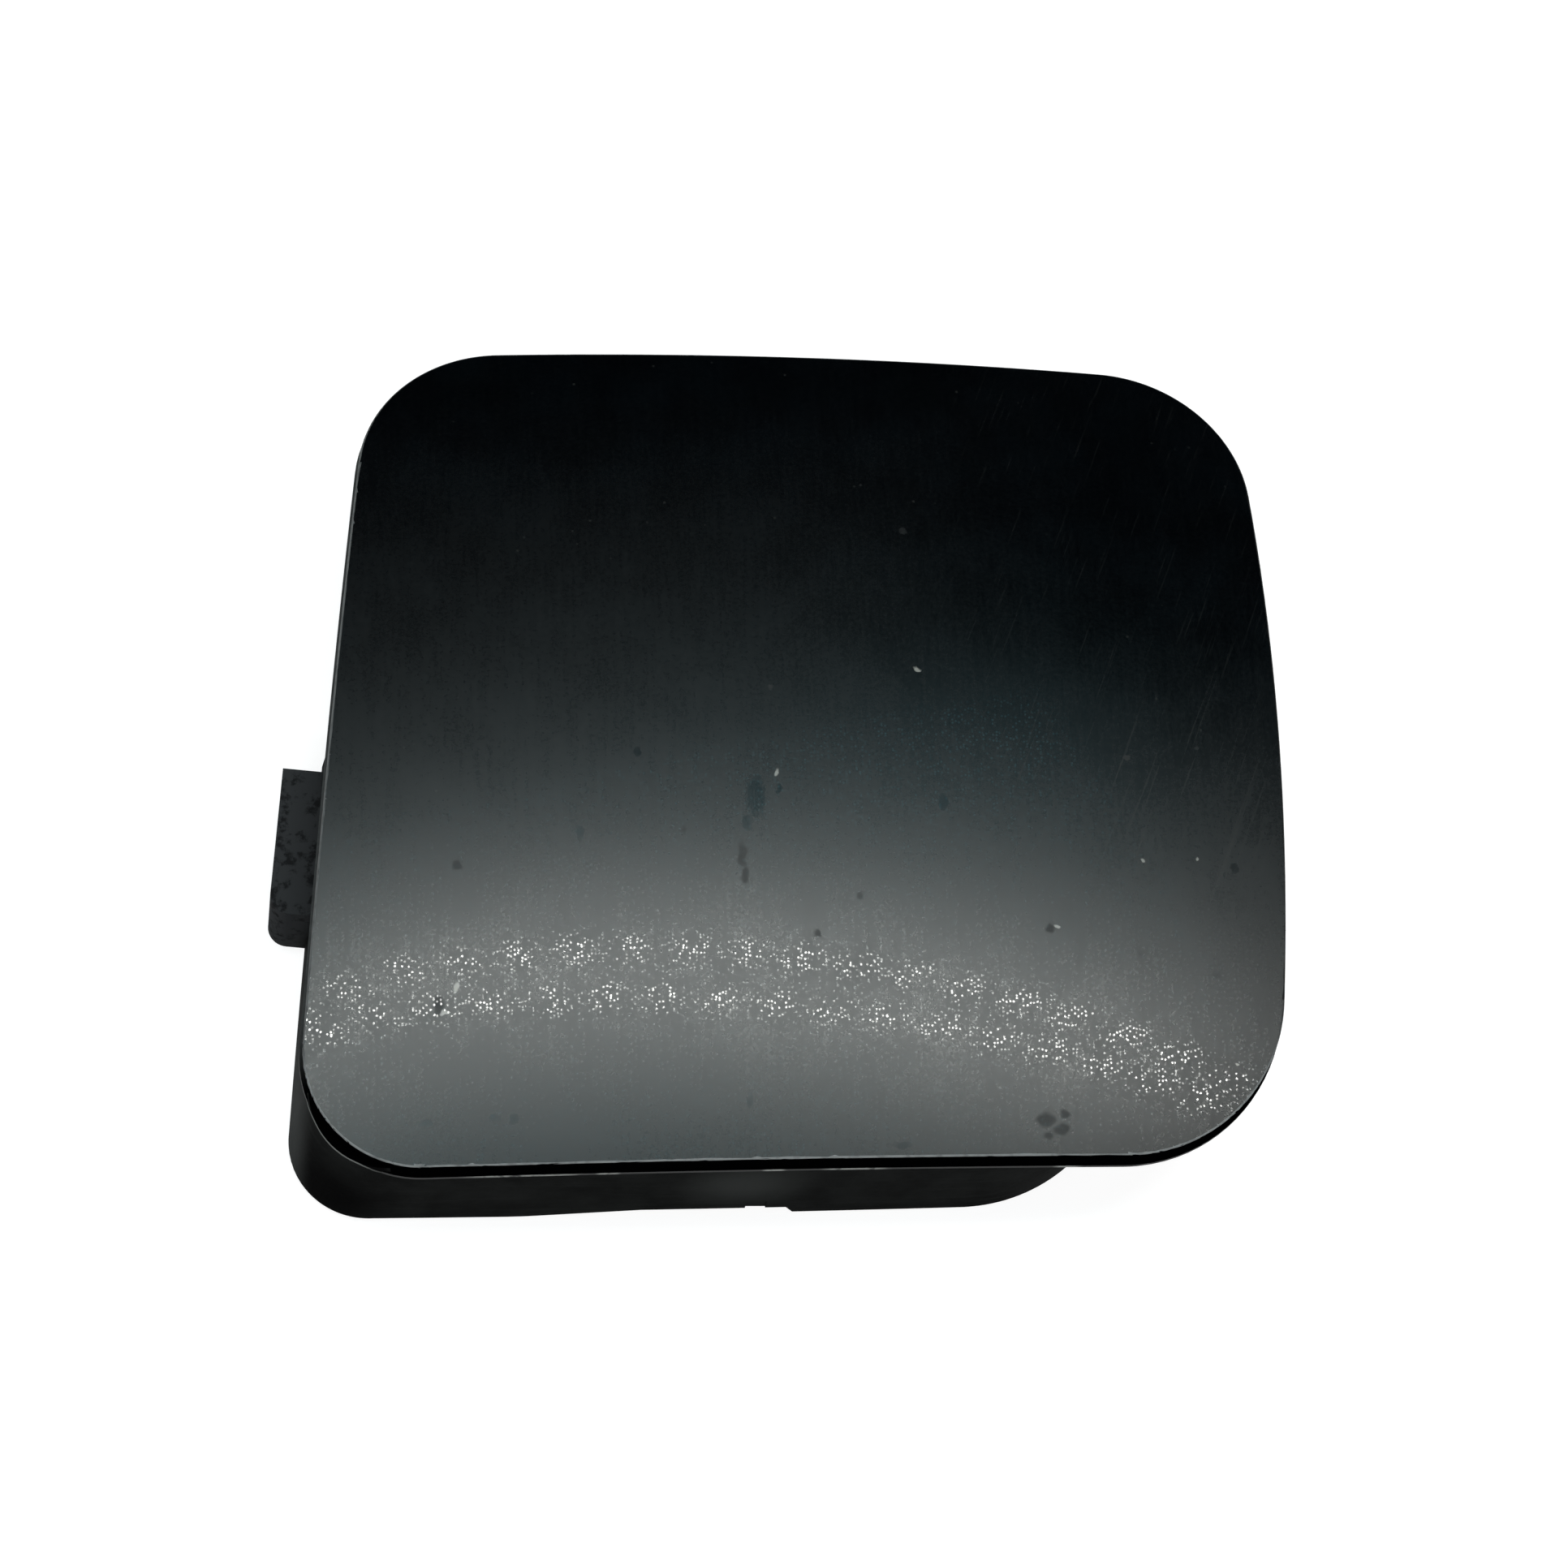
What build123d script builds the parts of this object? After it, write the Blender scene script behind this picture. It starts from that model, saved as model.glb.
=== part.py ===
"""Tow hook cover for a car bumper: one moulded cap.

The part lies face up. +Z points out of the crowned face, against the way the cap is pushed in,
+X points along the face away from the locating lug, and the rear edge of the skirt stands on Z = 0.
All sizes are millimetres.
"""
import os
from math import atan2, degrees, sqrt

from build123d import *

# Face panel. Corners run top left, top right, bottom right, bottom left, before rounding.
FACE_CORNERS = [(-35.9, 36.1), (38.8, 34.9), (37.7, -35.7), (-42.8, -36.7)]
FACE_BOWS = [0.7, 2.0, 0.2, 0.4]
FACE_RADII = [12.2, 12.8, 14.3, 9.8]
FACE_THICKNESS = 2.5
FACE_APEX = 19.1
CROWN_RADIUS_X = 450.0
CROWN_RADIUS_Y = 210.0
EDGE_RADIUS = 0.3

# Thin moulding witness bead that runs round the lower edge of the rim.
BEAD_PROUD = 0.2
BEAD_HEIGHT = 0.4

# Skirt. Corners of the rear edge in the same order. The wall leans back to the rear edge.
SKIRT_CORNERS = [(-36.5, 34.9), (27.9, 34.2), (27.9, -35.5), (-43.4, -36.7)]
SKIRT_BOWS = [0.6, 0.2, 0.25, 0.4]
SKIRT_RADII = [11.0, 14.0, 15.0, 6.6]
SKIRT_WALL = 2.0
SKIRT_LEAN = (0.1, 0.03)
REAR_EDGE_RADIUS = 0.9

# The left wall is thinned on its outer side beyond the lug, so that it tucks in under the rim.
THINNED_FROM_Y = 3.6
THINNED_BY = 0.5

# Shallow relief in the rear edge of the lower wall, with a half-round gate mark beside its step.
RELIEF_DEPTH = 2.0
RELIEF_TAPER_FROM = -30.0
RELIEF_FULL_FROM = -13.7
RELIEF_STEP = (-1.5, -0.4)
GATE_CENTRE_X = -4.1
GATE_WIDTH = 1.7
GATE_TOP = 4.2
GATE_SINK = 0.2

# Locating lug on the left wall. It hooks behind the edge of the bumper opening.
LUG_FAR_CORNER = (-43.3, 1.0)
LUG_LENGTH = 13.0
LUG_END_SLOPE = 0.3
LUG_ROOT = 4.5
LUG_HEIGHT = 7.1
LUG_WALL = 1.8
LUG_NOSE_RADIUS = 1.7

# Snap arm, cut free from the right wall by two slots, with a barb on its outer side.
ARM_WIDTH = 14.0
ARM_CENTRE_Y = -0.7
ARM_SLOT = 1.5
ARM_SLOT_DEPTH = 9.0
BARB_REACH = 1.6
BARB_SIDE_GAP = 1.0
BARB_FOOT_Z = 0.6
BARB_NOSE_Z = 5.4
BARB_LAND = 0.9

# Stiffening ribs behind the face.
RIB_THICKNESS = 1.2
RIB_DEPTH = 3.0
RIB_ROWS_Y = [-12.7, 11.3]
RIB_COLUMN_X = -8.0

# Working sizes that follow from the ones above.
FACE_BURY = FACE_THICKNESS / 2
BARB_CATCH_Z = LUG_HEIGHT
REACH = 60.0
CUT_PAST = 1.0
CROWN_SWEEP = 28.0


def outward(start, end):
    """Unit vector that points out of a four-sided shape, square to one of its sides."""
    run_x = end[0] - start[0]
    run_y = end[1] - start[1]
    length = sqrt(run_x ** 2 + run_y ** 2)
    return -run_y / length, run_x / length


def rounded_quad(corners, bows, radii, grow=0.0):
    """Four bowed sides through the corners, all moved outwards by grow, with each corner rounded."""
    moved = []
    for index, corner in enumerate(corners):
        back = outward(corners[index - 1], corner)
        ahead = outward(corner, corners[(index + 1) % 4])
        share = grow / (1 + back[0] * ahead[0] + back[1] * ahead[1])
        moved.append((corner[0] + share * (back[0] + ahead[0]), corner[1] + share * (back[1] + ahead[1])))
    sides = []
    for index, start in enumerate(moved):
        end = moved[(index + 1) % 4]
        out_x, out_y = outward(start, end)
        middle_x = (start[0] + end[0]) / 2 + bows[index] * out_x
        middle_y = (start[1] + end[1]) / 2 + bows[index] * out_y
        sides.append(ThreePointArc(start, (middle_x, middle_y), end))
    shape = make_face(sides)
    for corner, radius in zip(moved, radii):
        shape = fillet(shape.vertices().sort_by_distance((corner[0], corner[1], 0))[0], radius + grow)
    return shape


def under_crown(depth):
    """All the space under the face surface once that surface is moved inwards by depth."""
    radius = CROWN_RADIUS_X - depth
    side_z = FACE_APEX - CROWN_RADIUS_X + sqrt(radius ** 2 - REACH ** 2)
    top = ThreePointArc((-REACH, side_z), (0, FACE_APEX - depth), (REACH, side_z))
    rest = Polyline((REACH, side_z), (REACH, -REACH / 2), (-REACH, -REACH / 2), (-REACH, side_z))
    profile = Plane.XZ * make_face([top, rest])
    hinge = Axis((0, 0, FACE_APEX - CROWN_RADIUS_Y), (1, 0, 0))
    return revolve(profile, axis=hinge, revolution_arc=CROWN_SWEEP).rotate(hinge, -CROWN_SWEEP / 2)


def column(shape, low=-REACH / 3, high=REACH / 2):
    """A plan shape stood up as a straight column."""
    return extrude(Pos(0, 0, low) * shape, amount=high - low)


def leaning_column(shape, height):
    """A plan shape at the rear edge, drawn up along the lean of the skirt."""
    return extrude(shape, amount=height * sqrt(1 + SKIRT_LEAN[0] ** 2 + SKIRT_LEAN[1] ** 2),
                   dir=(SKIRT_LEAN[0], SKIRT_LEAN[1], 1))


def block(low, high):
    """A box between two opposite corner points."""
    size = [b - a for a, b in zip(low, high)]
    return Pos(*low) * Box(*size, align=(Align.MIN, Align.MIN, Align.MIN))


def arch(width, top):
    """A slot shape that comes up from below the rear edge and ends in a half round."""
    stem = Rectangle(width, REACH, align=(Align.CENTER, Align.MAX))
    return Pos(0, top - width / 2) * (Circle(width / 2) + stem)


def rear_side_y(x):
    """Where the outer face of the lower wall crosses the rear edge plane."""
    (x0, y0), (x1, y1) = SKIRT_CORNERS[2], SKIRT_CORNERS[3]
    return y0 + (y1 - y0) * (x - x0) / (x1 - x0) - SKIRT_BOWS[2]


face_shape = rounded_quad(FACE_CORNERS, FACE_BOWS, FACE_RADII)
face_space = under_crown(0)
inner_space = under_crown(FACE_THICKNESS)
bury_space = under_crown(FACE_BURY)

panel = column(face_shape) & face_space
panel = panel - inner_space
rim_edges = panel.faces().sort_by(Axis.Z)[-1].outer_wire().edges()
panel = fillet(rim_edges, EDGE_RADIUS)

bead_shape = rounded_quad(FACE_CORNERS, FACE_BOWS, FACE_RADII, BEAD_PROUD)
bead = column(bead_shape) & under_crown(FACE_THICKNESS - BEAD_HEIGHT)
bead = bead - inner_space

skirt_shape = rounded_quad(SKIRT_CORNERS, SKIRT_BOWS, SKIRT_RADII)
skirt_hollow = rounded_quad(SKIRT_CORNERS, SKIRT_BOWS, SKIRT_RADII, -SKIRT_WALL)
skirt_inside = leaning_column(skirt_hollow, FACE_APEX)
skirt_outside = leaning_column(skirt_shape, FACE_APEX)
skirt_outside = fillet(skirt_outside.faces().sort_by(Axis.Z)[0].outer_wire().edges(), REAR_EDGE_RADIUS)
left_run = (SKIRT_CORNERS[0][0] - SKIRT_CORNERS[3][0], SKIRT_CORNERS[0][1] - SKIRT_CORNERS[3][1])
left_turn = degrees(atan2(left_run[0], left_run[1]))
thinned_x = SKIRT_CORNERS[3][0] + left_run[0] * (THINNED_FROM_Y - SKIRT_CORNERS[3][1]) / left_run[1]
thinned_place = Location((thinned_x - SKIRT_BOWS[3] + THINNED_BY, THINNED_FROM_Y, 0), (0, 0, -left_turn))
thinned = thinned_place * Rectangle(REACH, REACH, align=(Align.MAX, Align.MIN))
skirt = (skirt_outside - skirt_inside - leaning_column(thinned, FACE_APEX)) & bury_space

# Relief and gate mark in the rear edge of the lower wall.
relief_line = [(RELIEF_TAPER_FROM, 0), (RELIEF_FULL_FROM, RELIEF_DEPTH), (RELIEF_STEP[0], RELIEF_DEPTH),
               (RELIEF_STEP[1], 0), (RELIEF_STEP[1], -CUT_PAST), (RELIEF_TAPER_FROM, -CUT_PAST)]
relief = extrude(Plane.XZ * make_face(Polyline(*relief_line, close=True)), amount=REACH)
gate_floor = rear_side_y(GATE_CENTRE_X) + GATE_SINK
gate = extrude(Plane.XZ * Pos(GATE_CENTRE_X, 0) * arch(GATE_WIDTH, GATE_TOP), amount=REACH)
gate = gate & block((-REACH, -REACH, -REACH), (REACH, gate_floor, REACH))
skirt = skirt - relief - gate

# Locating lug, square to the left wall, cored out from the rear.
lug_place = Location((LUG_FAR_CORNER[0], LUG_FAR_CORNER[1], 0), (0, 0, -left_turn))
lug_line = [(0, 0), (0, LUG_HEIGHT), (-LUG_LENGTH, LUG_HEIGHT), (-LUG_LENGTH - LUG_END_SLOPE, 0)]
lug = extrude(Plane.YZ * make_face(Polyline(*lug_line, close=True)), amount=LUG_ROOT)
nose = lug.edges().filter_by(Axis.Y, reverse=True).filter_by(Axis.X, reverse=True).group_by(Axis.X)[0]
lug = fillet(nose.sort_by(Axis.Y)[0], LUG_NOSE_RADIUS)
lug_pocket = block((LUG_WALL, -LUG_LENGTH + LUG_WALL, -CUT_PAST),
                   (LUG_ROOT + SKIRT_WALL, -LUG_WALL, LUG_HEIGHT - LUG_WALL))

# Snap arm: two slots free it, and a barb grows from its outer side.
slot = extrude(Plane.YZ * arch(ARM_SLOT, ARM_SLOT_DEPTH), amount=REACH)
slot_offset = (ARM_WIDTH + ARM_SLOT) / 2
arm_slots = Pos(0, ARM_CENTRE_Y - slot_offset, 0) * slot + Pos(0, ARM_CENTRE_Y + slot_offset, 0) * slot
wall_x = SKIRT_CORNERS[1][0]
lean_x = SKIRT_LEAN[0]
barb_line = [(wall_x + lean_x * BARB_FOOT_Z, BARB_FOOT_Z),
             (wall_x + lean_x * BARB_NOSE_Z + BARB_REACH, BARB_NOSE_Z),
             (wall_x + lean_x * BARB_NOSE_Z + BARB_REACH, BARB_NOSE_Z + BARB_LAND),
             (wall_x + lean_x * BARB_CATCH_Z, BARB_CATCH_Z),
             (wall_x + lean_x * BARB_CATCH_Z - SKIRT_WALL / 2, BARB_CATCH_Z),
             (wall_x + lean_x * BARB_FOOT_Z - SKIRT_WALL / 2, BARB_FOOT_Z + REAR_EDGE_RADIUS)]
barb_half = ARM_WIDTH / 2 - BARB_SIDE_GAP
barb = extrude(Plane.XZ * make_face(Polyline(*barb_line, close=True)), amount=barb_half, both=True)
barb = Pos(0, ARM_CENTRE_Y, 0) * barb

# Ribs under the face, kept inside the skirt.
rib_space = bury_space - under_crown(FACE_THICKNESS + RIB_DEPTH)
rib_ends = rounded_quad(SKIRT_CORNERS, SKIRT_BOWS, SKIRT_RADII, -SKIRT_WALL / 2)
rib_limit = leaning_column(rib_ends, FACE_APEX)
rib_plan = Pos(RIB_COLUMN_X, 0) * Rectangle(RIB_THICKNESS, 2 * REACH)
for rib_y in RIB_ROWS_Y:
    rib_plan += Pos(0, rib_y) * Rectangle(2 * REACH, RIB_THICKNESS)
ribs = column(rib_plan) & rib_limit & rib_space

cover = panel + bead + skirt + ribs
cover = cover + lug_place * lug - lug_place * lug_pocket
cover = cover - arm_slots + barb

box = cover.bounding_box()
cover = Pos(-(box.min.X + box.max.X) / 2, -(box.min.Y + box.max.Y) / 2, -box.min.Z) * cover

os.makedirs("parts", exist_ok=True)
export_step(cover, "parts/tow_hook_cover.step")
print("solids", len(cover.solids()), "volume", round(cover.volume), "box", box)
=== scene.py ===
"""Tow hook cover of a car bumper, dressed as worn satin black plastic on a pale floor."""
from math import cos, radians, sin, sqrt

import bmesh
import bpy
from mathutils import Matrix, Vector


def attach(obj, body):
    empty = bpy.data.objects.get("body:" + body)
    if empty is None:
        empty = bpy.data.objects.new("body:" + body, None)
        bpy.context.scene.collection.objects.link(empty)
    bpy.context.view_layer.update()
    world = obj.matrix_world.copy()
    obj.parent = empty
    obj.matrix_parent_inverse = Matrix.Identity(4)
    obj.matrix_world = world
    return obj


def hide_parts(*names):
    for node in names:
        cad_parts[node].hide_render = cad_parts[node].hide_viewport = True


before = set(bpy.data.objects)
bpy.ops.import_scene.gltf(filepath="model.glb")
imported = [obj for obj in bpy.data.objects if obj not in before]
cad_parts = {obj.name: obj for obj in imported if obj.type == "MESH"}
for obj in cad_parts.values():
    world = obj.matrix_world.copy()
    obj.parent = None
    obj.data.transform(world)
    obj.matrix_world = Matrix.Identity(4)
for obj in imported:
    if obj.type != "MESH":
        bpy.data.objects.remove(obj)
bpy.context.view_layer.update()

MM = 1000

# The crowned face as the solid has it, in metres.
CROWN_CENTRE = (0.001966, 0.000166)
CROWN_RADIUS_X = 0.450
CROWN_RADIUS_Y = 0.210
FACE_APEX = 0.0191

# Depths under the crown, in metres, where one finish gives way to another.
ON_CROWN = 0.00004
EDGE_DEPTH = 0.00032
WALL_TOP = 0.0012
BEAD_TOP = 0.00195
RIM_DEPTH = 0.0023
BEAD_DEPTH = 0.00275

# Upward parts of a face's normal where one finish gives way to another.
CROWN_UP = 0.8
EDGE_UP = 0.45
LEANING_MOST = 0.35
LEANING_LEAST = 0.02
UNDERSIDE_UP = -0.3

# The lug's side in painted shade, which takes the rim's black: its limits in metres, and how far its
# faces turn to the front.
LUG_INNER_X = -0.0370
LUG_FRONT_Y = -0.02
LUG_TOP_Z = 0.0075
LUG_FORWARD = -0.5

# How near the shell's corners are joined, in metres, and the angle up to which it looks smooth.
WELD_DISTANCE = 2e-6
SMOOTH_ANGLE = radians(35)

# Places of the finishes in the shell's list of materials.
FACE, RIM, SKIRT, BEAD, EDGE = range(5)

# Marks in millimetres: centre x, centre y, half width, half length. The greasy and dull marks and the
# nicks are wear; the corner and bead places are painted highlights.
GREASY_MARKS = [
    (-2.8, -6.0, 0.9, 2.0), (-3.6, -8.2, 0.45, 0.8), (-17.4, -9.0, 0.35, 0.6),
    (8.5, -35.2, 0.8, 0.3), (12.8, -6.4, 0.35, 0.9), (37.4, -11.5, 0.35, 0.5),
    (-12.5, -1.9, 0.35, 0.4), (-4.0, -31.5, 0.3, 0.6), (-24.6, -32.7, 0.5, 0.35),
    (-23.2, -32.9, 0.4, 0.45), (-30.2, -33.0, 0.5, 0.3), (-0.9, -5.2, 0.25, 0.5)]
DULL_MARKS = [
    (20.3, -33.0, 0.8, 0.6), (21.6, -33.8, 0.7, 0.5), (21.9, -32.5, 0.45, 0.4),
    (20.5, -34.4, 0.5, 0.35), (-27.5, -11.7, 0.5, 0.45), (-4.1, -10.9, 0.42, 1.3),
    (-4.0, -12.8, 0.36, 0.9), (-29.1, -23.4, 0.5, 0.8), (21.4, -17.1, 0.4, 0.5),
    (5.5, -14.4, 0.3, 0.3), (1.9, -17.7, 0.25, 0.3), (35.3, -20.6, 0.3, 0.3)]
BRIGHT_NICKS = [
    (11.3, 5.7, 0.32, 0.2), (-1.0, -3.7, 0.16, 0.3), (21.9, -16.8, 0.2, 0.2),
    (-27.7, -21.9, 0.25, 0.55), (29.6, -11.1, 0.18, 0.18), (36.7, -28.3, 0.18, 0.16),
    (-28.6, -24.1, 0.4, 0.2), (34.2, -10.7, 0.12, 0.12)]
CORNER_HIGHLIGHT_PLACE = [(-38.6, -33.6, 5.4, 5.4)]
BEAD_HIGHLIGHT_PLACES = [
    (-22.2, -36.0, 4.4, 6.0), (-15.4, -36.0, 0.9, 6.0), (-1.9, -36.0, 0.9, 6.0),
    (4.8, -36.0, 2.5, 6.0), (22.4, -36.0, 1.1, 6.0)]

# A mark is whole within the first share of its half size and gone beyond the second.
MARK_WHOLE, MARK_GONE = 0.55, 1.25
MARK_LEVEL = 18
MARK_TALL = 1000

# Plain colours on the shaders, in linear light, for an export that bakes nothing.
PLAIN_FACE = (0.0006, 0.0008, 0.0010, 1)
PLAIN_RIM = (0.001, 0.001, 0.0011, 1)
PLAIN_BEAD = (0.002, 0.002, 0.002, 1)
PLAIN_SKIRT = (0.011, 0.012, 0.0115, 1)

# Colours that the finishes mix, in linear light.
DEEP_BLACK = (0.0004, 0.0004, 0.0005, 1)
SHADOW_BLACK = (0.0005, 0.0005, 0.0006, 1)
FACE_DARK = (0.0001, 0.0004, 0.0008, 1)
FACE_LIGHT = (0.0002, 0.0008, 0.0014, 1)
FACE_STREAK = (0.0034, 0.0036, 0.0036, 1)
FACE_DUST = (0.017, 0.018, 0.017, 1)
FACE_NICK = (0.19, 0.19, 0.175, 1)
# Greys of the painted light on the left side of the rim.
RIM_PAINTED_LIT_DARK = (0.034, 0.035, 0.035, 1)
RIM_PAINTED_LIT_PALE = (0.078, 0.081, 0.081, 1)
# Painted highlights on the bead and on the face's edge.
BEAD_HIGHLIGHT = (0.18, 0.185, 0.175, 1)
EDGE_HIGHLIGHT = (0.17, 0.178, 0.18, 1)
SKIRT_DARK = (0.0040, 0.0043, 0.0042, 1)
SKIRT_LIGHT = (0.0080, 0.0086, 0.0084, 1)
SKIRT_DRAG = (0.0115, 0.0123, 0.012, 1)
# Painted sheen and painted shade on the skirt, and painted light on its left wall and the lug's top.
SKIRT_PAINTED_SHEEN = (0.028, 0.0297, 0.029, 1)
SKIRT_REAR_SHADE = (0.0007, 0.0007, 0.0009, 1)
LEFT_WALL_PAINTED_LIGHT = (0.042, 0.0435, 0.043, 1)
LUG_TOP_PAINTED_LIGHT = (0.031, 0.032, 0.034, 1)
LUG_GRUB = (0.007, 0.007, 0.0075, 1)
# Painted highlight on the lip at the lower left corner.
LIP_HIGHLIGHT = (0.15, 0.155, 0.15, 1)

# What each thing on the face adds to its roughness.
ROUGH_LEAST = 0.215
ROUGH_GRAIN = 0.15
ROUGH_PATCH = 0.07
ROUGH_STREAK = 0.06
ROUGH_GREASY = -0.07
ROUGH_DULL = 0.15
ROUGH_SLANT = 0.05
POLISH_RIGHT = 0.09
POLISH_FAR = 0.08

# The glinting specks are small coated facets, more so in some patches than in others.
GLINT_ROUGHNESS = 0.07
GLINT_WEAK, GLINT_STRONG = 0.42, 0.56

# Where a tone, painted light, painted shade or painted sheen of the face, rim, edge or skirt comes in
# or goes out, in millimetres.
SLANT_X = (8.0, 24.0)
POLISH_X, POLISH_Y, POLISH_FAR_Y = (-8, 34), (-12, 14), (16, 38)
RIM_LIT_X, RIM_LIT_Y, RIM_LIT_Z = (-34, -30), (-30, -22), (8.5, 10)
EDGE_LEFT_X, EDGE_FRONT_Y = (-36, -32), (-30, -24)
WALL_X, WALL_Y = (-40.5, -39.0), (-36.0, -31.0)
LUG_TOP_X, LUG_TOP_Y = (-38.4, -37.4), (-12.5, -12.0)
REAR_Y, REAR_Z = (-30, -28), (0.3, 1.1)
CORNER_SHADOW_PLACE, CORNER_SHADOW_REACH = (-38.5, -36.0, 4.0), (2.0, 9.0)
SHEEN_PLACE, SHEEN_REACH = (-3.5, -36.2, 8.0), (0.5, 7.0)

# How much of each tone, painted light, painted shade or painted sheen is mixed in.
SLANT_SHARE = 0.5
DUST_SHARE = 0.5
EDGE_LEFT_SHARE = 0.5
DRAG_SHARE = 0.4
CORNER_SHADOW_SHARE = 0.95
LIT_WALL_SHARE = 0.8
SHEEN_SHARE = 0.8
GRUB_SHARE = 0.8
REAR_SHADE_SHARE = 0.9

# The lip of the wall at the lower left corner, with a painted highlight along it and painted shade
# above it, in millimetres.
# Going by x + y, it starts at its own depth under the crown, comes down to the bead's line and ends
# soon after.
LIP_START, LIP_JOIN, LIP_END = -71.4, -69.6, -69.2
LIP_DEPTH, LIP_BEAD_DEPTH = 1.44, 2.36
LIP_WIDTH = (0.10, 0.18)
LIP_SHADE = (-0.14, -0.08)
CORNER_BEND = 0.995

# Depth of the fine relief in the shading, in metres.
FINE_RELIEF = 0.00001
COARSE_RELIEF = 0.00002

# Two arched rows of small ceiling lamps: name, shift along x, y at the middle and bow, in metres.
LAMP_COUNT = 20
LAMP_GAP = 0.036
LAMP_ROWS = (("near_row", 0.0, 0.096, 0.64), ("far_row", 0.5 * LAMP_GAP, 0.148, 0.82))
ROW_START_X = -0.29
ROW_HEIGHT = 1.0
ROW_LAMP_SIZE = (0.014, 0.024)
ROW_POWER = 0.152
ROW_RIGHT_POWER = 0.026

# Left of this place the rows bend more, and their lamps are stronger.
TAIL_X = -0.13
TAIL_BEND = 3.6
TAIL_POWER = 1.5

# Soft lamps: name, place and size in metres, watts and colour.
PLAIN_WHITE = (1, 1, 1)
CEILING_WHITE = (1.0, 0.99, 0.94)
CEILING_COOL = (0.3, 0.85, 1.0)
SOFT_LAMPS = (
    ("ceiling", (-0.03, 0.08, 1.02), (0.9, 0.5), 1.9, CEILING_COOL),
    ("front_left", (-1.1, -0.9, 0.8), (1.0, 0.8), 4.5, PLAIN_WHITE),
    ("front_right", (1.1, -0.9, 0.8), (1.0, 0.8), 4.5, PLAIN_WHITE),
    ("front_strip", (0.0, -0.9, 1.05), (1.8, 0.12), 7.2, PLAIN_WHITE),
    ("back_left", (-1.2, 1.1, 0.6), (0.8, 0.6), 2.0, PLAIN_WHITE),
    ("back_right", (1.2, 1.1, 0.6), (0.8, 0.6), 2.0, PLAIN_WHITE))

# The room round the cap, and the heights on its sky between which the pale backdrop ends.
ROOM_COLOUR = (0.6, 0.85, 1.0, 1)
ROOM_STRENGTH = 0.0015
BACKDROP_COLOUR = (1, 1, 1, 1)
BACKDROP_END = (0.12, 0.42)

# The floor: half its side in metres, and its greys for light and for what is seen.
FLOOR_HALF = 3
FLOOR_LIT = (0.85, 0.85, 0.85, 1)
FLOOR_SEEN = (0.34, 0.34, 0.34, 1)
FLOOR_GLOW = (0.82, 0.82, 0.82, 1)

# The camera, fitted to the edges in the photograph. Lens and sensor are in millimetres.
CAMERA_AIM = Vector((0.001079, -0.000320, 0.0080))
CAMERA_TILT = radians(22.165)
CAMERA_SIDE = radians(7.245)
CAMERA_ROLL = radians(-2.540)
CAMERA_DISTANCE = 0.41450
CAMERA_LENS = 111.8
CAMERA_SENSOR = 36
CAMERA_NEAREST = 0.01


def crown_height(x, y):
    """Height of the crowned face over a point of the plan."""
    across = x - CROWN_CENTRE[0]
    along = y - CROWN_CENTRE[1]
    swing = sqrt(CROWN_RADIUS_X ** 2 - across ** 2) - CROWN_RADIUS_X + CROWN_RADIUS_Y
    return FACE_APEX - CROWN_RADIUS_Y + sqrt(swing ** 2 - along ** 2)


def crown_normal(x, y):
    """Direction square to the crowned face."""
    across = x - CROWN_CENTRE[0]
    along = y - CROWN_CENTRE[1]
    lift = sqrt(1 - (across / CROWN_RADIUS_X) ** 2)
    swing = CROWN_RADIUS_X * lift - CROWN_RADIUS_X + CROWN_RADIUS_Y
    rise = lift * sqrt(swing ** 2 - along ** 2) / swing
    return Vector((across / CROWN_RADIUS_X, lift * along / swing, rise))


def surface_of(face, depth, own):
    """The finish that a small face of the shell takes, by its depth under the crown and its normal."""
    deepest = max(depth[v] for v in face.vertices)
    highest = min(depth[v] for v in face.vertices)
    middle = face.center
    if deepest < ON_CROWN and own.z > 0:
        return FACE
    if deepest < EDGE_DEPTH and own.z > EDGE_UP:
        return EDGE
    if deepest > WALL_TOP and LEANING_LEAST < own.z < LEANING_MOST:
        return SKIRT
    if deepest < RIM_DEPTH and own.z > UNDERSIDE_UP:
        return RIM
    if deepest < BEAD_DEPTH and highest > BEAD_TOP and own.z > UNDERSIDE_UP:
        return BEAD if own.z < LEANING_MOST else RIM
    # The lug's faces that turn to the front take the rim's black as painted shade.
    on_lug = middle.x < LUG_INNER_X and middle.y > LUG_FRONT_Y and middle.z < LUG_TOP_Z
    return RIM if on_lug and own.y < LUG_FORWARD else SKIRT


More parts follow.
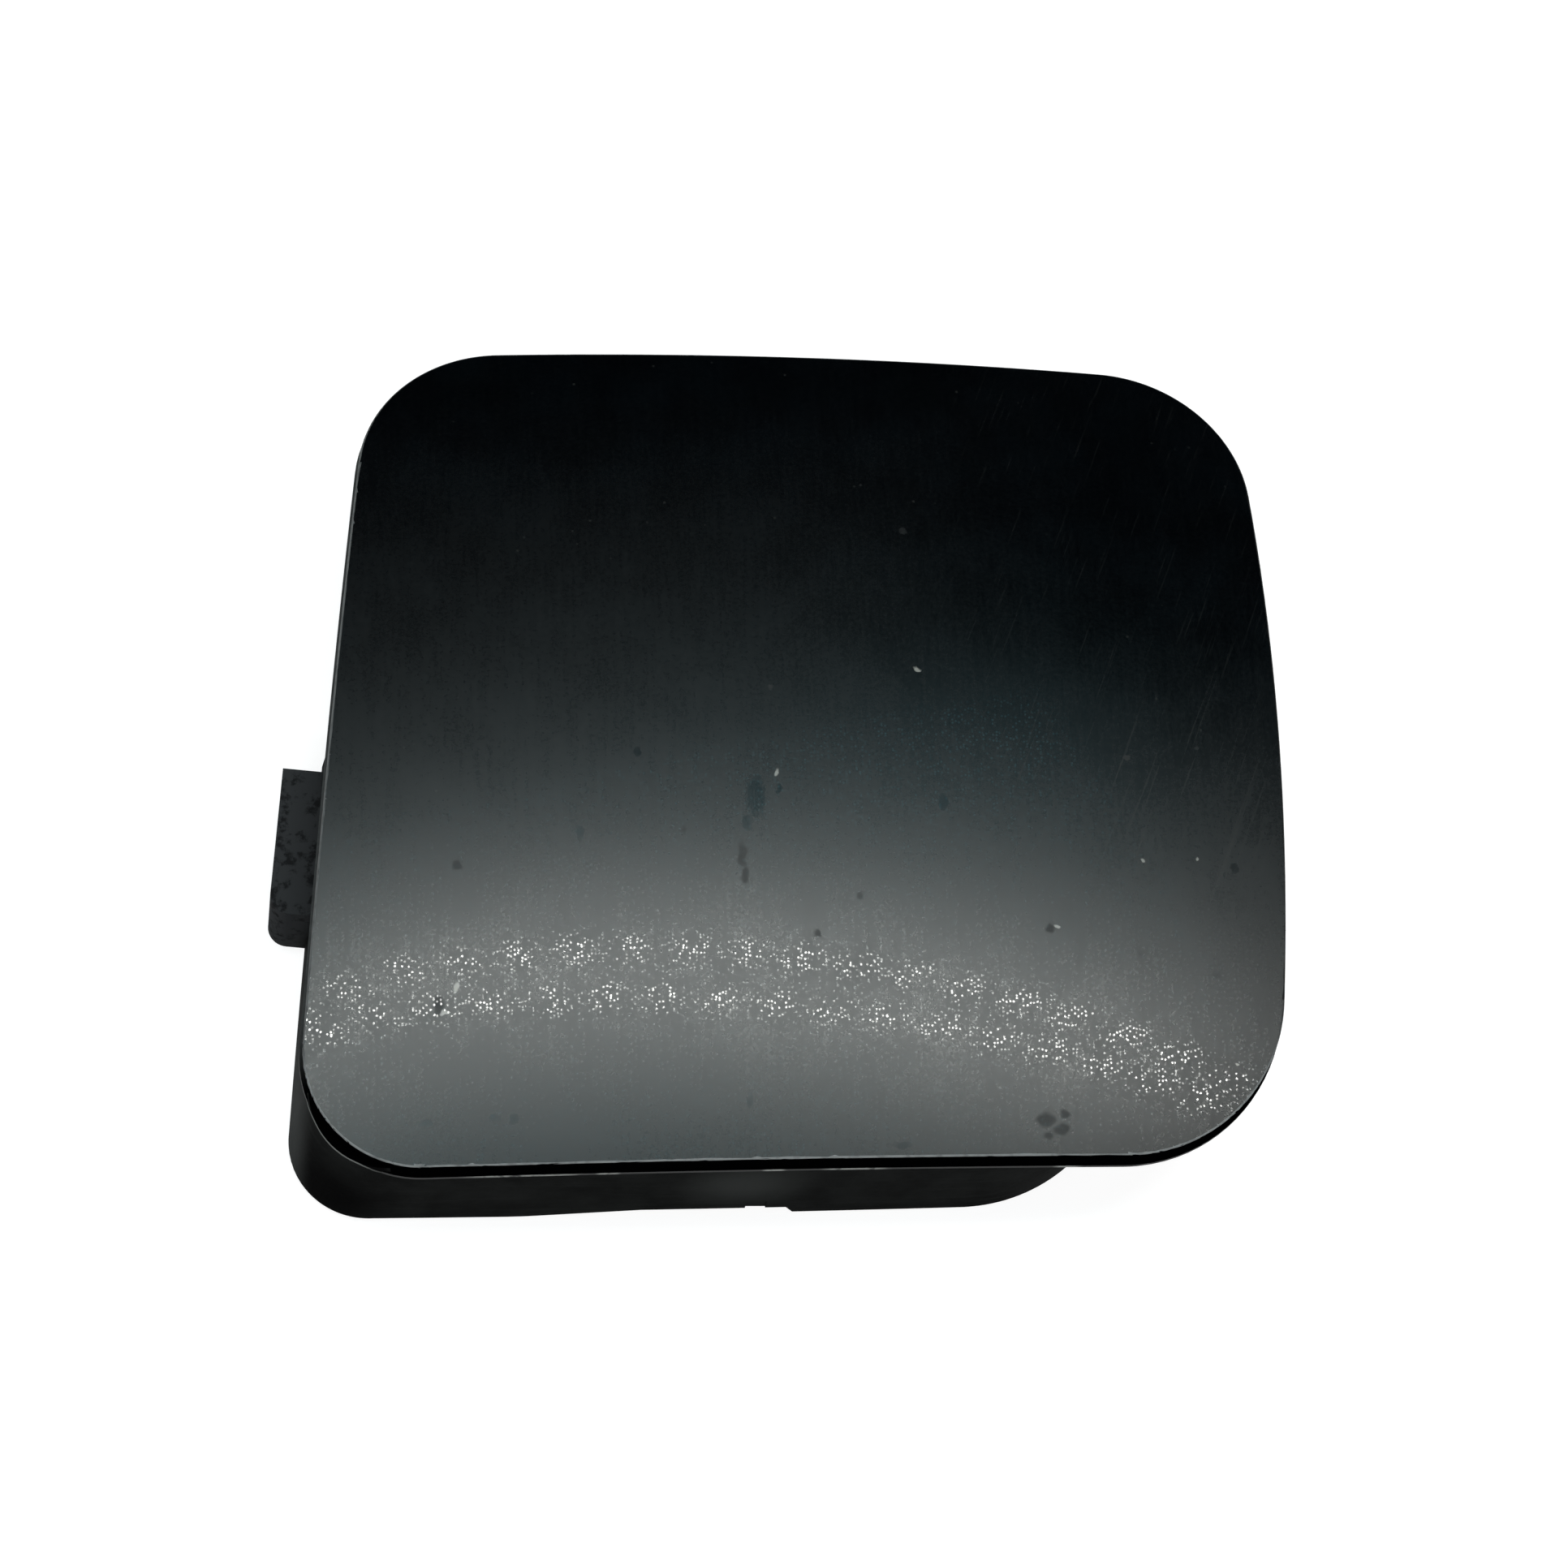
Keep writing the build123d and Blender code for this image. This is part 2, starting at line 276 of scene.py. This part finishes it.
def cover_shell(node):
    """A copy of the solid's own surface with joined corners and true shading on the crown."""
    mesh = node.data.copy()
    mesh.name = "cover_shell"
    mesh.materials.clear()
    welded = bmesh.new()
    welded.from_mesh(mesh)
    bmesh.ops.remove_doubles(welded, verts=welded.verts, dist=WELD_DISTANCE)
    welded.to_mesh(mesh)
    welded.free()
    around = [[] for _ in mesh.vertices]
    for face in mesh.polygons:
        face.use_smooth = True
        for corner in face.vertices:
            around[corner].append(face.index)
    places = [v.co.copy() for v in mesh.vertices]
    depth = [crown_height(p.x, p.y) - p.z for p in places]
    flat = [f.normal.copy() for f in mesh.polygons]
    area = [f.area for f in mesh.polygons]
    near = cos(SMOOTH_ANGLE)
    shading = []
    for face in mesh.polygons:
        own = flat[face.index]
        face.material_index = surface_of(face, depth, own)
        for corner in face.vertices:
            place = places[corner]
            if abs(depth[corner]) < ON_CROWN and own.z > CROWN_UP:
                shading.append(crown_normal(place.x, place.y))
                continue
            total = Vector((0, 0, 0))
            for other in around[corner]:
                if flat[other].dot(own) > near:
                    total += flat[other] * area[other]
            shading.append(total.normalized() if total.length > 0 else own)
    mesh.normals_split_custom_set(shading)
    shell = bpy.data.objects.new("cover_shell", mesh)
    bpy.context.scene.collection.objects.link(shell)
    return shell


def add_node(tree, kind, settings=None, **inputs):
    """A node with its settings and inputs, linked where an input is another node's output.

    An input is given by its name, with _ for a space, or by its number after an i.
    """
    node = tree.nodes.new(kind)
    for key, value in (settings or {}).items():
        setattr(node, key, value)
    for key, value in inputs.items():
        by_number = key[1:].isdigit()
        socket = node.inputs[int(key[1:]) if by_number else key.replace("_", " ")]
        if isinstance(value, bpy.types.NodeSocket):
            tree.links.new(value, socket)
        else:
            socket.default_value = value
    return node


def soft_step(tree, value, low, high, to_low=0.0, to_high=1.0):
    """A soft step of a value between two limits."""
    node = add_node(tree, "ShaderNodeMapRange", {"interpolation_type": "SMOOTHSTEP"}, Value=value,
                    From_Min=low, From_Max=high, To_Min=to_low, To_Max=to_high)
    return node.outputs[0]


class Finish:
    """A material under construction, with short calls for the nodes that the finishes share."""

    def __init__(self, name, colour, roughness, specular):
        self.material = bpy.data.materials.new(name)
        self.material.use_nodes = True
        self.tree = self.material.node_tree
        self.shader = self.tree.nodes["Principled BSDF"]
        self.shader.inputs["Base Color"].default_value = colour
        self.shader.inputs["Roughness"].default_value = roughness
        self.shader.inputs["Specular IOR Level"].default_value = specular
        place = self.add("ShaderNodeTexCoord")
        self.mm = self.stretched(place.outputs["Object"], (MM, MM, MM))

    def add(self, kind, settings=None, **inputs):
        """A node of this material."""
        return add_node(self.tree, kind, settings, **inputs)

    def join(self, socket, value):
        """Link a value to the shader."""
        self.tree.links.new(value, self.shader.inputs[socket])

    def axes(self):
        """The three coordinates in millimetres."""
        return self.add("ShaderNodeSeparateXYZ", Vector=self.mm).outputs

    def stretched(self, vector, scale, turn=0.0):
        """The given coordinates turned about Z, then stretched."""
        turned = self.add("ShaderNodeMapping", Vector=vector, Rotation=(0, 0, turn))
        return self.add("ShaderNodeMapping", Vector=turned.outputs[0], Scale=scale).outputs[0]

    def ragged(self, scale, reach):
        """Coordinates shaken about on the plan, which give marks ragged edges."""
        wander = self.add("ShaderNodeTexNoise", Vector=self.mm, Scale=scale, Detail=3.0)
        shaken = self.add("ShaderNodeVectorMath", {"operation": "MULTIPLY_ADD"},
                          i0=wander.outputs["Color"], i1=(reach, reach, 0), i2=self.mm)
        centred = self.add("ShaderNodeVectorMath", {"operation": "SUBTRACT"},
                           i0=shaken.outputs[0], i1=(reach / 2, reach / 2, 0))
        return centred.outputs[0]

    def math(self, operation, a, b=0.0, clamp=False):
        """One sum of two values."""
        settings = {"operation": operation, "use_clamp": clamp}
        return self.add("ShaderNodeMath", settings, i0=a, i1=b).outputs[0]

    def times(self, a, b):
        """Two values multiplied."""
        return self.math("MULTIPLY", a, b)

    def plus(self, total, value, amount, clamp=False):
        """A total with an amount of a value added."""
        return self.math("ADD", total, self.times(value, amount), clamp)

    def step(self, value, low, high, to_low=0.0, to_high=1.0):
        """A soft step of a value between two limits."""
        return soft_step(self.tree, value, low, high, to_low, to_high)

    def fade(self, value, low, high, full=1.0):
        """A soft step down to nothing."""
        return self.step(value, low, high, full, 0.0)

    def away(self, place):
        """Distance from a place, in millimetres."""
        node = self.add("ShaderNodeVectorMath", {"operation": "DISTANCE"}, i0=self.mm, i1=place)
        return node.outputs["Value"]

    def noise(self, vector, scale, detail=3.0, roughness=0.55):
        """A cloudy random value."""
        node = self.add("ShaderNodeTexNoise", Vector=vector, Scale=scale, Detail=detail,
                        Roughness=roughness)
        return node.outputs["Fac"]

    def specks(self, vector, scale, channel, chosen, reach, dimensions="3D"):
        """A mask of scattered round specks, at the centres of some cells of a random pattern."""
        cells = self.add("ShaderNodeTexVoronoi", {"voronoi_dimensions": dimensions},
                         Vector=vector, Scale=scale)
        pick = self.add("ShaderNodeSeparateColor", Color=cells.outputs["Color"]).outputs[channel]
        return self.times(self.step(pick, *chosen), self.fade(cells.outputs["Distance"], *reach))

    def spots(self, vector, marks):
        """A mask of soft-edged ovals on the plan."""
        total = None
        for x, y, half_width, half_length in marks:
            shrunk = self.add("ShaderNodeMapping", {"vector_type": "TEXTURE"}, Vector=vector,
                              Location=(x, y, MARK_LEVEL), Scale=(half_width, half_length, MARK_TALL))
            reach = self.add("ShaderNodeVectorMath", {"operation": "LENGTH"}, i0=shrunk.outputs[0])
            mask = self.fade(reach.outputs["Value"], MARK_WHOLE, MARK_GONE)
            total = mask if total is None else self.math("MAXIMUM", total, mask)
        return total

    def blend(self, share, first, second):
        """One colour mixed into another."""
        node = self.add("ShaderNodeMix", {"data_type": "RGBA"}, i0=share, i6=first, i7=second)
        return node.outputs[2]

    def emboss(self, height, strength, distance=FINE_RELIEF):
        """Fine relief in the shading."""
        bump = self.add("ShaderNodeBump", Strength=strength, Distance=distance, Height=height)
        self.join("Normal", bump.outputs[0])


def satin_face():
    """Fine-grained satin plastic with glinting specks, rubbed streaks, dull spots and a few nicks."""
    finish = Finish("satin_face", PLAIN_FACE, roughness=0.31, specular=0.28)
    mm = finish.mm
    x, y, _ = finish.axes()
    ragged = finish.ragged(scale=0.9, reach=0.9)
    grain = finish.noise(mm, scale=3.2, detail=4.0, roughness=0.7)
    patch = finish.noise(mm, scale=0.16, detail=4.0, roughness=0.6)
    streak = finish.noise(finish.stretched(mm, (2.6, 0.18, 1)), scale=1.0)
    slant = finish.noise(finish.stretched(mm, (4.2, 0.09, 1), radians(22)), scale=1.0, detail=2.0)
    slant = finish.times(finish.step(slant, 0.60, 0.74), finish.step(x, *SLANT_X))
    glint = finish.specks(mm, scale=3.5, channel=0, chosen=(0.5, 1.0), reach=(0.22, 0.40),
                          dimensions="2D")
    pit = finish.specks(ragged, scale=0.16, channel=1, chosen=(0.45, 0.5), reach=(0.035, 0.06))
    dust = finish.specks(mm, scale=0.55, channel=2, chosen=(0.72, 0.78), reach=(0.04, 0.09))
    greasy = finish.spots(ragged, GREASY_MARKS)
    dull = finish.math("MAXIMUM", finish.spots(ragged, DULL_MARKS), pit)
    nick = finish.spots(ragged, BRIGHT_NICKS)

    rough = finish.math("ADD", finish.times(grain, ROUGH_GRAIN), ROUGH_LEAST)
    rough = finish.plus(rough, finish.math("SUBTRACT", patch, 0.5), ROUGH_PATCH)
    rough = finish.plus(rough, finish.math("SUBTRACT", streak, 0.5), ROUGH_STREAK)
    rough = finish.plus(rough, greasy, ROUGH_GREASY)
    rough = finish.plus(rough, dull, ROUGH_DULL)
    polished = finish.times(finish.step(x, *POLISH_X), finish.step(y, *POLISH_Y))
    polished = finish.math("MAXIMUM", finish.times(polished, POLISH_RIGHT),
                           finish.step(y, *POLISH_FAR_Y, 0.0, POLISH_FAR))
    rough = finish.math("SUBTRACT", rough, polished)
    finish.join("Roughness", finish.plus(rough, slant, ROUGH_SLANT, clamp=True))

    finish.shader.inputs["Coat Roughness"].default_value = GLINT_ROUGHNESS
    coat = finish.step(patch, 0.3, 0.6, GLINT_WEAK, GLINT_STRONG)
    finish.join("Coat Weight", finish.times(glint, coat))

    base = finish.blend(finish.step(patch, 0.35, 0.7), FACE_DARK, FACE_LIGHT)
    base = finish.blend(finish.times(slant, SLANT_SHARE), base, FACE_STREAK)
    base = finish.blend(finish.times(dust, DUST_SHARE), base, FACE_DUST)
    finish.join("Base Color", finish.blend(nick, base, FACE_NICK))

    height = finish.math("ADD", finish.times(grain, 0.6), finish.times(streak, 0.25))
    finish.emboss(height, strength=0.22)
    return finish.material


def rim_side():
    """Side of the rim in deep black without reflection as painted shade, with painted light in grey on
    the left where the wall faces the light.
    """
    finish = Finish("rim_side", PLAIN_RIM, roughness=0.5, specular=0.0)
    x, y, z = finish.axes()
    # Painted light on the rim's left side, which faces the light; elsewhere the deep black stands in
    # for shade.
    left = finish.times(finish.step(y, *RIM_LIT_Y), finish.fade(x, *RIM_LIT_X))
    left = finish.times(left, finish.step(z, *RIM_LIT_Z))
    speckle = finish.noise(finish.mm, scale=1.4)
    grey = finish.blend(speckle, RIM_PAINTED_LIT_DARK, RIM_PAINTED_LIT_PALE)
    finish.join("Base Color", finish.blend(left, DEEP_BLACK, grey))
    finish.emboss(speckle, strength=0.2)
    return finish.material


def witness_bead():
    """Thin bead under the rim, with a pale painted highlight in short lengths."""
    finish = Finish("witness_bead", PLAIN_BEAD, roughness=0.45, specular=0.05)
    nibbled = finish.noise(finish.mm, scale=0.9)
    # Painted highlight in short lengths along the bead.
    rubbed = finish.times(finish.spots(finish.mm, BEAD_HIGHLIGHT_PLACES), finish.step(nibbled, 0.3, 0.5))
    finish.join("Base Color", finish.blend(rubbed, SHADOW_BLACK, BEAD_HIGHLIGHT))
    finish.emboss(nibbled, strength=0.2)
    return finish.material


def highlit_edge():
    """Small round along the face's edge, with a paler painted highlight along the front and the left
    side.
    """
    finish = Finish("highlit_edge", PLAIN_RIM, roughness=0.35, specular=0.17)
    x, y, _ = finish.axes()
    # Painted highlight along the front and, weaker, along the left side.
    worn = finish.math("MAXIMUM", finish.fade(y, *EDGE_FRONT_Y),
                       finish.fade(x, *EDGE_LEFT_X, EDGE_LEFT_SHARE))
    nibbled = finish.noise(finish.mm, scale=1.2)
    worn = finish.times(worn, finish.step(nibbled, 0.2, 0.6, 0.5, 1.0))
    finish.join("Base Color", finish.blend(worn, DEEP_BLACK, EDGE_HIGHLIGHT))
    finish.emboss(nibbled, strength=0.2)
    return finish.material


def crown_depth(finish, x, y, z):
    """Depth under the crown in millimetres, worked out in the material for the lower left corner."""
    across = finish.math("SUBTRACT", x, MM * CROWN_CENTRE[0])
    along = finish.math("SUBTRACT", y, MM * CROWN_CENTRE[1])
    fall_x = finish.math("DIVIDE", finish.times(across, across), 2 * MM * CROWN_RADIUS_X)
    fall_y = finish.math("DIVIDE", finish.times(along, along), 2 * MM * CORNER_BEND * CROWN_RADIUS_Y)
    fallen = finish.math("ADD", z, finish.math("ADD", fall_x, fall_y))
    return finish.math("SUBTRACT", MM * FACE_APEX, fallen)


def corner_lip(finish, base, x, y, z):
    """The colour with the painted highlight along the lip on top of the wall at the lower left corner,
    and the painted shade above it.
    """
    outward = finish.math("ADD", x, y)
    line = finish.step(outward, LIP_START, LIP_JOIN, -LIP_DEPTH, -LIP_BEAD_DEPTH)
    from_lip = finish.math("ADD", crown_depth(finish, x, y, z), line)
    at_corner = finish.fade(outward, LIP_JOIN, LIP_END)
    # Painted shade on the wall above the lip.
    shade = finish.times(finish.fade(from_lip, *LIP_SHADE), at_corner)
    base = finish.blend(shade, base, DEEP_BLACK)
    # Painted highlight along the lip.
    lip = finish.times(finish.fade(finish.math("ABSOLUTE", from_lip), *LIP_WIDTH), at_corner)
    lip = finish.times(lip, finish.spots(finish.mm, CORNER_HIGHLIGHT_PLACE))
    return finish.blend(lip, base, LIP_HIGHLIGHT)


def raw_skirt():
    """Plain moulded plastic of the skirt, lug and back, with grubby mottling, a painted sheen at the
    front, painted light on the left wall and the lug's top, and painted shade in the lower left
    corner, above its lip and low along the edge at the front.
    """
    finish = Finish("raw_skirt", PLAIN_SKIRT, roughness=0.55, specular=0.0015)
    mm = finish.mm
    x, y, z = finish.axes()
    cloud = finish.noise(mm, scale=0.22, detail=4.0, roughness=0.6)
    fine = finish.noise(mm, scale=2.4, roughness=0.6)
    drag = finish.noise(finish.stretched(mm, (0.12, 0.12, 1.6)), scale=1.0)
    mottle = finish.noise(mm, scale=0.75, detail=4.0, roughness=0.7)
    dragged = finish.times(finish.step(drag, 0.5, 0.75), DRAG_SHARE)
    # Painted shadow, nearly black, in the lower left corner of the skirt.
    corner = finish.fade(finish.away(CORNER_SHADOW_PLACE), *CORNER_SHADOW_REACH, CORNER_SHADOW_SHARE)
    # Painted light in grey on the left wall, which faces the light.
    wall = finish.times(finish.fade(x, *WALL_X), finish.step(y, *WALL_Y))
    # Painted sheen: a lighter patch at the front of the skirt.
    painted_sheen = finish.fade(finish.away(SHEEN_PLACE), *SHEEN_REACH, SHEEN_SHARE)
    # Painted light on the lug's top, which faces up; the grub marks on it are dirt.
    lug_top = finish.times(finish.fade(x, *LUG_TOP_X), finish.step(y, *LUG_TOP_Y))
    grub = finish.times(finish.step(mottle, 0.5, 0.62), lug_top)
    # Painted shade, near black, low along the skirt's edge at the front.
    rear = finish.times(finish.fade(z, *REAR_Z), finish.fade(y, *REAR_Y))

    base = finish.blend(finish.step(cloud, 0.3, 0.7), SKIRT_DARK, SKIRT_LIGHT)
    base = finish.blend(dragged, base, SKIRT_DRAG)
    base = finish.blend(corner, base, SHADOW_BLACK)
    base = finish.blend(finish.times(wall, LIT_WALL_SHARE), base, LEFT_WALL_PAINTED_LIGHT)
    base = finish.blend(painted_sheen, base, SKIRT_PAINTED_SHEEN)
    base = finish.blend(lug_top, base, LUG_TOP_PAINTED_LIGHT)
    base = finish.blend(finish.times(grub, GRUB_SHARE), base, LUG_GRUB)
    base = finish.blend(finish.times(rear, REAR_SHADE_SHARE), base, SKIRT_REAR_SHADE)
    finish.join("Base Color", corner_lip(finish, base, x, y, z))
    finish.join("Roughness", finish.math("ADD", finish.times(fine, 0.2), 0.45))
    finish.emboss(fine, strength=0.25, distance=COARSE_RELIEF)
    return finish.material


def area_lamp(name, place, size, power, colour):
    """A soft lamp that looks at the cap."""
    lamp = bpy.data.lights.new(name, "AREA")
    lamp.shape = "RECTANGLE"
    lamp.size, lamp.size_y = size
    lamp.energy = power
    lamp.color = colour
    held = bpy.data.objects.new(name, lamp)
    held.location = place
    held.rotation_euler = (-Vector(place)).to_track_quat("-Z", "Y").to_euler()
    bpy.context.scene.collection.objects.link(held)


def looking_rays(tree):
    """1 for rays that see the surroundings, straight on or mirrored, 0 for rays that give light."""
    path = add_node(tree, "ShaderNodeLightPath")
    total = path.outputs["Is Camera Ray"]
    for kind in ("Is Glossy Ray", "Is Transmission Ray"):
        total = add_node(tree, "ShaderNodeMath", {"operation": "ADD", "use_clamp": True},
                         i0=total, i1=path.outputs[kind]).outputs[0]
    return total


def dim_room():
    """A dark room whose low part looks white, as the backdrop of the floor."""
    world = bpy.data.worlds.new("room")
    world.use_nodes = True
    tree = world.node_tree
    room = tree.nodes["Background"]
    room.inputs["Color"].default_value = ROOM_COLOUR
    room.inputs["Strength"].default_value = ROOM_STRENGTH
    backdrop = add_node(tree, "ShaderNodeBackground", Color=BACKDROP_COLOUR, Strength=1)
    place = add_node(tree, "ShaderNodeTexCoord")
    height = add_node(tree, "ShaderNodeSeparateXYZ", Vector=place.outputs["Generated"]).outputs["Z"]
    share = add_node(tree, "ShaderNodeMath", {"operation": "MULTIPLY"},
                     i0=soft_step(tree, height, *BACKDROP_END, 1.0, 0.0), i1=looking_rays(tree))
    choose = add_node(tree, "ShaderNodeMixShader", Fac=share.outputs[0],
                      i1=room.outputs[0], i2=backdrop.outputs[0])
    tree.links.new(choose.outputs[0], tree.nodes["World Output"].inputs["Surface"])
    return world


def pale_floor():
    """White floor that keeps a light shadow, with part of its white as a glow that gives no light."""
    material = bpy.data.materials.new("pale_floor")
    material.use_nodes = True
    tree = material.node_tree
    tree.nodes.clear()
    lit = add_node(tree, "ShaderNodeBsdfDiffuse", Color=FLOOR_LIT)
    seen = add_node(tree, "ShaderNodeBsdfDiffuse", Color=FLOOR_SEEN)
    glow = add_node(tree, "ShaderNodeEmission", Color=FLOOR_GLOW, Strength=1)
    both = add_node(tree, "ShaderNodeAddShader", i0=seen.outputs[0], i1=glow.outputs[0])
    choose = add_node(tree, "ShaderNodeMixShader", Fac=looking_rays(tree),
                      i1=lit.outputs[0], i2=both.outputs[0])
    add_node(tree, "ShaderNodeOutputMaterial", Surface=choose.outputs[0])
    return material


cover = cover_shell(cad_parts["tow_hook_cover"])
for material in (satin_face(), rim_side(), raw_skirt(), witness_bead(), highlit_edge()):
    cover.data.materials.append(material)
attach(cover, "root")
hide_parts("tow_hook_cover")

for index in range(LAMP_COUNT):
    lamp_x = ROW_START_X + LAMP_GAP * index
    beyond = max(TAIL_X - lamp_x, 0.0)
    along_row = index / (LAMP_COUNT - 1)
    power = ROW_POWER + ROW_RIGHT_POWER * along_row ** 3 + TAIL_POWER * beyond ** 2
    for row, shift, middle_y, bow in LAMP_ROWS:
        lamp_y = middle_y - bow * lamp_x ** 2 - TAIL_BEND * beyond ** 2
        lamp_place = (lamp_x + shift, lamp_y, ROW_HEIGHT)
        area_lamp(f"{row}_{index}", lamp_place, ROW_LAMP_SIZE, power, CEILING_WHITE)
for soft_lamp in SOFT_LAMPS:
    area_lamp(*soft_lamp)

bpy.context.scene.world = dim_room()

floor_corners = [(x * FLOOR_HALF, y * FLOOR_HALF, 0) for x, y in ((-1, -1), (1, -1), (1, 1), (-1, 1))]
floor_mesh = bpy.data.meshes.new("floor")
floor_mesh.from_pydata(floor_corners, [], [(0, 1, 2, 3)])
floor = bpy.data.objects.new("floor", floor_mesh)
bpy.context.scene.collection.objects.link(floor)
floor.data.materials.append(pale_floor())

back = Vector((-sin(CAMERA_SIDE), -sin(CAMERA_TILT) * cos(CAMERA_SIDE),
               cos(CAMERA_TILT) * cos(CAMERA_SIDE)))
level_right = Vector((0, 1, 0)).cross(back).normalized()
level_up = back.cross(level_right)
right = cos(CAMERA_ROLL) * level_right + sin(CAMERA_ROLL) * level_up
up = cos(CAMERA_ROLL) * level_up - sin(CAMERA_ROLL) * level_right
lens = bpy.data.cameras.new("camera")
lens.lens = CAMERA_LENS
lens.sensor_width = CAMERA_SENSOR
lens.clip_start = CAMERA_NEAREST
camera = bpy.data.objects.new("camera", lens)
turn = Matrix((right, up, back)).transposed().to_4x4()
camera.matrix_world = Matrix.Translation(CAMERA_AIM + CAMERA_DISTANCE * back) @ turn
bpy.context.scene.collection.objects.link(camera)
bpy.context.scene.camera = camera
bpy.context.scene.view_settings.view_transform = "Standard"
